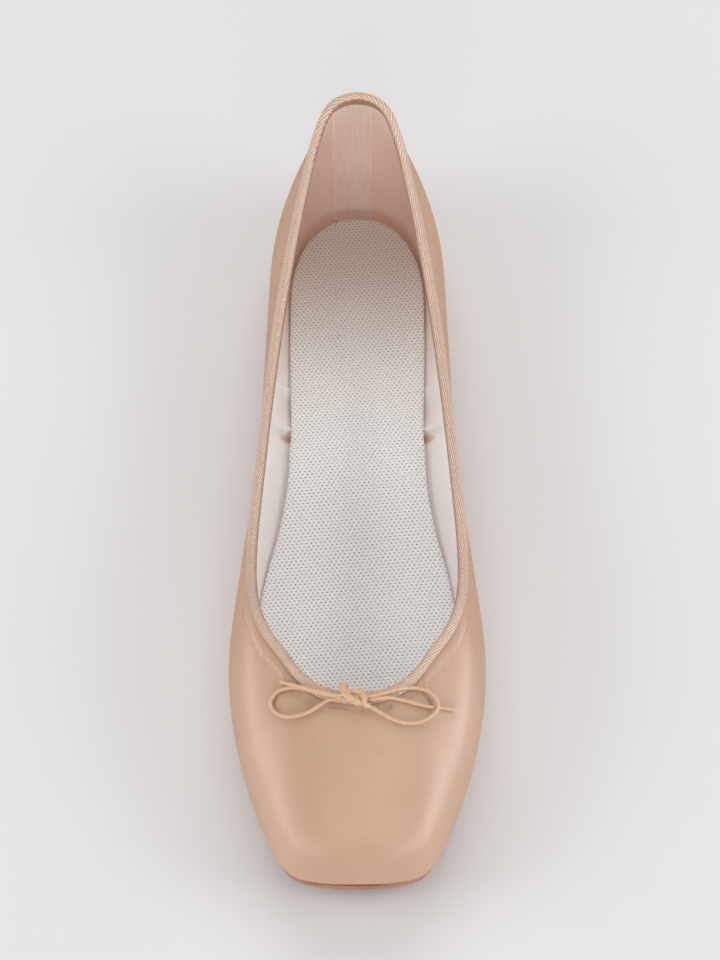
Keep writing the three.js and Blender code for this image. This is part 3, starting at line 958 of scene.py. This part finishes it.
def inside_relief(places, below):
    _, y, z = places.T
    behind = y + (z - SEAM_LEVEL) * SEAM_LEAN
    seam = SEAM_HEIGHT * hump(behind, SEAM_Y, SEAM_WIDTH)
    panel = PANEL_LIFT * smooth_step(behind, *PANEL_STARTS) * (1 - smooth_step(behind, *PANEL_ENDS))
    edge = PANEL_END_HEIGHT * hump(behind, PANEL_END_Y, SEAM_WIDTH)
    low = 1 - smooth_step(z, *LINING_FOOT)
    between = smooth_step(behind, *LINING_PLEATS_START) * (1 - smooth_step(behind, *LINING_PLEATS_END))
    pleats = LINING_PLEAT_DEPTH * np.sin(y * 2 * math.pi / LINING_PLEAT_PITCH) * low * between
    gap = GAP_DEPTH * hump(y, GAP_Y * MM, GAP_WIDTH)
    panel_gap = PANEL_GAP_DEPTH * hump(y, PANEL_GAP_Y, PANEL_GAP_WIDTH)
    relief = seam + panel + edge + pleats - (gap + panel_gap) * low
    return relief * smooth_step(below, *LINING_RELIEF_BELOW)


def make_upper():
    piece = merged_copy("upper", "satin_upper")
    grid, _ = ring_grid(piece)
    grid.to_mesh(piece.data)
    grid.free()
    subdivide_smoothly(piece, 2)
    binding = surface_of(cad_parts["collar_binding"])

    def needs_detail(face):
        centre = np.array([face.center])
        outside = looks_out(centre, np.array([face.normal]))[0]
        if outside:
            if abs(face.center.x) < FINE_BACK_HALF_WIDTH and face.center.y > FINE_BACK_FROM:
                return True
            return face.center.y < FINE_BAND_TO and binding.find_nearest(face.center)[3] < FINE_BAND
        return FINE_LINING[0] < face.center.y < FINE_LINING[1] and face.center.z > FINE_LINING_ABOVE

    select_faces(piece, needs_detail)
    bpy.ops.mesh.subdivide(number_cuts=2)
    bpy.ops.object.mode_set(mode="OBJECT")
    places, normals = vertex_arrays(piece)
    below = np.array([binding.find_nearest(Vector(place))[3] for place in places])
    outside = looks_out(places, normals)
    relief = np.where(outside, outside_relief(places, below), inside_relief(places, below))
    place_vertices(piece, places + normals * relief[:, None])
    bpy.ops.object.shade_smooth()
    piece.data.materials.append(satin())
    piece.data.materials.append(lining())
    for face in piece.data.polygons:
        outside = looks_out(np.array([face.center]), np.array([face.normal]))[0]
        face.material_index = 0 if outside else 1
    finish_piece(piece, "satin", "upper")
    return piece


# Collar
def strip_map(grid, rings, start):
    """A UV map over a ring grid, in millimetres along its rings and across them."""
    crosses = {edge for edge in grid.edges if edge not in rings}
    section = round_from(start, crosses)
    across = lengths_along(section)
    along = None
    places = {}
    previous = None
    for row, vertex in enumerate(section):
        line = round_from(vertex, rings)
        if previous is not None and previous[1] not in [e.other_vert(line[1]) for e in line[1].link_edges]:
            line = [line[0], *line[:0:-1]]
        if along is None:
            along = lengths_along(line)
        places.update({v: (column, row) for column, v in enumerate(line)})
        previous = line
    last = (len(previous), len(section))
    layer = grid.loops.layers.uv.new("strip")
    for face in grid.faces:
        cells = [list(places[loop.vert]) for loop in face.loops]
        for axis in range(2):
            if max(cell[axis] for cell in cells) - min(cell[axis] for cell in cells) > 1:
                for cell in cells:
                    cell[axis] = cell[axis] or last[axis]
        for loop, (column, row) in zip(face.loops, cells):
            loop[layer].uv = (along[column] / MM, across[row] / MM)


def make_binding():
    piece = merged_copy("collar_binding", "twill_binding")
    for layer in list(piece.data.uv_layers):
        piece.data.uv_layers.remove(layer)
    grid, rings = ring_grid(piece)
    throat = [v for v in grid.verts if abs(v.co.x) < ON_MIDDLE and v.co.y < 0]
    middle = sum((v.co for v in throat), Vector()) / len(throat)
    strip_map(grid, rings, min(throat, key=lambda v: (v.co - middle).length))
    heel = [v for v in grid.verts if abs(v.co.x) < ON_MIDDLE and v.co.y > 0]
    lower_edge = [v.co.copy() for v in round_from(max(heel, key=lambda v: v.co.y - v.co.z), rings)]
    grid.to_mesh(piece.data)
    grid.free()
    subdivide_smoothly(piece, 2)
    places, normals = vertex_arrays(piece)
    fuller = HEEL_ROLL * smooth_step(places[:, 1], *HEEL_ROLL_FROM)
    fuller *= smooth_step(normals[:, 2], *HEEL_ROLL_SLOPES)
    place_vertices(piece, places + normals * fuller[:, None])
    piece.data.materials.append(twill())
    finish_piece(piece, "twill", "collar_binding")
    return lower_edge


def casing_line(lower_edge, satin_surface):
    """The line of the casing's stitches, stepped over the satin from the lower edge of the binding."""
    line = []
    for i, place in enumerate(lower_edge):
        ahead = (lower_edge[(i + 1) % len(lower_edge)] - lower_edge[i - 1]).normalized()
        outward = Vector((place.x, place.y - COLLAR_MIDDLE_Y, -COLLAR_HEIGHT))
        found, normal, _, _ = satin_surface.find_nearest(place)
        for _ in range(round(casing_width(place.y) / STITCH_STEP)):
            down = ahead.cross(normal).normalized()
            if down.dot(outward) < 0:
                down = -down
            found, normal, _, _ = satin_surface.find_nearest(found + down * STITCH_STEP)
        line.append(found + normal * THREAD_DIAMETER * THREAD_RISE)
    return line


def make_stitches(name, line, closed, size, pitch, finish):
    """A row of thread bumps of one size along a line."""
    path = smooth_curve("stitch_path", line, closed)
    length = path.data.splines[0].calc_length()
    count = round(length / pitch)
    bpy.ops.object.select_all(action="DESELECT")
    bpy.ops.mesh.primitive_uv_sphere_add(segments=8, ring_count=8, radius=0.5, rotation=(0, math.pi / 2, 0))
    piece = bpy.context.object
    piece.name = name
    bpy.ops.object.transform_apply(location=True, rotation=True, scale=True)
    piece.scale = size
    bpy.ops.object.transform_apply(location=True, rotation=True, scale=True)
    apply_modifier(
        piece,
        "ARRAY",
        count=count,
        use_relative_offset=False,
        use_constant_offset=True,
        constant_offset_displace=(length / count, 0, 0),
    )
    apply_modifier(piece, "CURVE", object=path, deform_axis="POS_X")
    bpy.data.objects.remove(path)
    bpy.ops.object.shade_smooth()
    piece.data.materials.append(finish)
    finish_piece(piece, "satin")


def make_seams(lower_edge, satin_surface):
    line = casing_line(lower_edge, satin_surface)
    size = (STITCH_LENGTH, THREAD_DIAMETER, THREAD_DIAMETER)
    make_stitches("casing_stitches", line, True, size, STITCH_PITCH, thread("thread", THREAD_COLOUR))
    tack = [satin_surface.find_nearest(Vector(place) * MM)[0] for place in TACK_ROUTE]
    make_stitches("bar_tack", tack, False, TACK_SIZE, TACK_PITCH, thread("tack_thread", TACK_COLOUR))


# Flat pieces
def fuller_toe(piece):
    """Rounds the outsole's edge out and up against the satin at the toe."""
    places, normals = vertex_arrays(piece)
    toe = smooth_step(-places[:, 1], *TOE_EDGE_FROM)
    places += normals * (TOE_EDGE_OUT * toe * (1 - np.abs(normals[:, 2])))[:, None]
    places[:, 2] += TOE_EDGE_UP * toe * smooth_step(normals[:, 2], *TOE_EDGE_SLOPES)
    place_vertices(piece, places)


def fuller_ball(piece):
    """Spreads the insole's edge to the lining, from the ball to the seam in the lining."""
    places, normals = vertex_arrays(piece)
    ball = 1 - smooth_step(places[:, 1], *INSOLE_SPREAD_TO)
    spread = INSOLE_SPREAD * ball * (1 - np.abs(normals[:, 2]))
    place_vertices(piece, places + normals * spread[:, None])


def fan_out(piece, wall):
    """Fans the insole out from the ball until its edge is in the lining of the toe box."""
    places, normals = vertex_arrays(piece)
    x, y, z = places.T
    turns = np.arctan2(x, FAN_CENTRE - y)
    reach = np.hypot(x, FAN_CENTRE - y)
    slopes = normals[:, 2]
    on_rim = (slopes > RIM_SLOPES[0]) & (slopes < RIM_SLOPES[1])
    rim = np.flatnonzero((y < FAN_CENTRE) & on_rim)
    rim = rim[np.argsort(turns[rim])]
    met = []
    for i in rim:
        ahead = Vector((x[i], y[i] - FAN_CENTRE, 0)).normalized()
        distance = wall.ray_cast(Vector((0, FAN_CENTRE, z[i] + INSOLE_INTO_LINING)), ahead)[3]
        if distance:
            met.append((turns[i], (distance + INSOLE_INTO_LINING) / reach[i]))
    met_turns, growths = np.array(met).T
    wider = np.maximum(np.interp(turns, met_turns, growths), 1)
    factor = 1 + (wider - 1) * smooth_step(-y, -FAN_CENTRE, -FAN_FULL)
    place_vertices(piece, np.column_stack((x * factor, FAN_CENTRE + (y - FAN_CENTRE) * factor, z)))


def make_plate(node, name, slot, finish):
    """A plate whose long edges from side to side are cut up before it is smoothed, to keep its outline."""
    piece = quad_copy(node, name)
    select_edges(piece, lambda a, b: abs(a.x - b.x) > LONG_CROSS_EDGE and abs(a.y - b.y) < LEVEL_CROSS_EDGE)
    bpy.ops.mesh.subdivide(number_cuts=CROSS_CUTS)
    bpy.ops.object.mode_set(mode="OBJECT")
    subdivide_smoothly(piece, 2)
    piece.data.materials.append(finish)
    finish_piece(piece, slot, node)
    return piece


def make_tape(upper):
    """A tape laid against the inside of the heel."""
    bpy.ops.object.select_all(action="DESELECT")
    upright = (math.pi / 2, 0, 0)
    bpy.ops.mesh.primitive_grid_add(x_subdivisions=28, y_subdivisions=90, size=1, rotation=upright)
    piece = bpy.context.object
    piece.name = "heel_tape_cotton"
    bpy.ops.object.transform_apply(location=True, rotation=True, scale=True)
    piece.scale = (TAPE_RIGHT - TAPE_LEFT, 1, TAPE_LENGTH)
    bpy.ops.object.transform_apply(location=True, rotation=True, scale=True)
    piece.location = TAPE_START
    piece.rotation_euler.x = TAPE_TILT
    apply_modifier(
        piece,
        "SHRINKWRAP",
        target=upper,
        wrap_method="PROJECT",
        use_project_y=True,
        use_positive_direction=True,
        use_negative_direction=False,
        offset=TAPE_OFFSET,
    )
    bpy.ops.object.transform_apply(location=True, rotation=True, scale=True)
    binding = surface_of(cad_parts["collar_binding"])

    def hidden(face):
        return face.center.y < TAPE_BEHIND or binding.find_nearest(face.center)[3] < TAPE_FROM_BINDING

    select_faces(piece, hidden)
    bpy.ops.mesh.delete(type="FACE")
    bpy.ops.object.mode_set(mode="OBJECT")
    apply_modifier(piece, "SOLIDIFY", thickness=TAPE_THICKNESS, offset=1)
    bpy.ops.object.shade_smooth_by_angle(angle=math.radians(40))
    piece.data.materials.append(cotton_tape())
    finish_piece(piece, "cotton_tape", "heel_tape")


make_stage()
make_bow()
satin_upper = make_upper()
binding_edge = make_binding()
satin_surface = surface_of(satin_upper)
make_seams(binding_edge, satin_surface)
canvas_insole = make_plate("insole", "canvas_insole", "canvas", canvas())
fuller_ball(canvas_insole)
fan_out(canvas_insole, satin_surface)
fuller_toe(make_plate("outsole", "leather_outsole", "outsole_leather", leather()))
make_tape(satin_upper)
